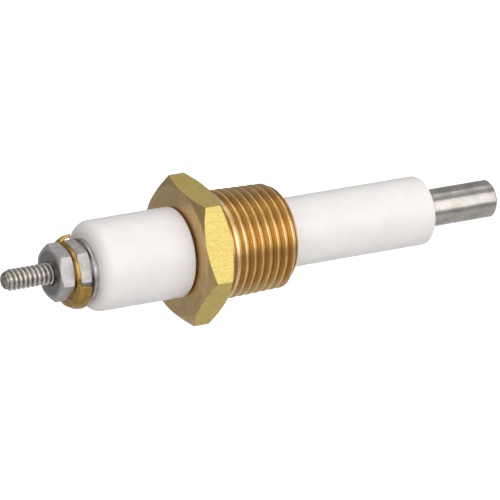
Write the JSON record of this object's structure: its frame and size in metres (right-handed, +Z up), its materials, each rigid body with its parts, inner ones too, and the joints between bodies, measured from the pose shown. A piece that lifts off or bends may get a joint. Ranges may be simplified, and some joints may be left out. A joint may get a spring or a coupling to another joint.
{
  "type": "ignition electrode",
  "caption": "Screw-in ignition electrode: hexagonal brass pipe bushing, white insulators each side, steel rod tip and a threaded terminal stud with nuts and washers.",
  "frame": {"origin": "on the electrode's axis, at the hexagon's face beside the root of the pipe thread, where the boiler wall ends", "axes": "+X along the axis from the terminal stud to the rod's tip, +Z up and square to one flat of the bushing's hexagon, +Y completes the right-handed set"},
  "size_m": [0.0868, 0.0238, 0.0206],
  "materials": {
    "bushing_brass": "turned, bare",
    "insulator_white": "satin white, unglazed",
    "seal_fibre": "dark compressed fibre",
    "rod_steel": "satin, drawn rod",
    "stud_steel": "rolled thread, dull",
    "nut_steel": "bright plated",
    "washer_steel": "satin",
    "cup_brass": "pressed sheet, bright edges"
  },
  "bodies": {
    "electrode": {"brass_bushing": "bushing_brass", "upper_insulator": "insulator_white", "lower_insulator": "insulator_white", "upper_seal": "seal_fibre", "lower_seal": "seal_fibre", "rod_seal": "seal_fibre", "electrode_rod": "rod_steel", "terminal_stud": "stud_steel", "flat_washer": "washer_steel", "inner_nut": "nut_steel"},
    "cup_washer": {"cup_washer": "cup_brass"},
    "terminal_nut": {"outer_nut": "nut_steel"}
  },
  "joints": [
    {"name": "washer_slide", "type": "slide", "parent": "electrode", "child": "cup_washer", "axis": [-1, 0, 0], "range_m": [0, 0.00397]},
    {"name": "nut_turn", "type": "hinge", "parent": "cup_washer", "child": "terminal_nut", "pos_m": [-0.0255, 0, 0], "axis": [-1, 0, 0], "range_deg": [0, 1800]}
  ],
  "couplings": [
    {"joint": "nut_turn", "follows": "washer_slide", "rad_per_m": 7915.8}
  ]
}
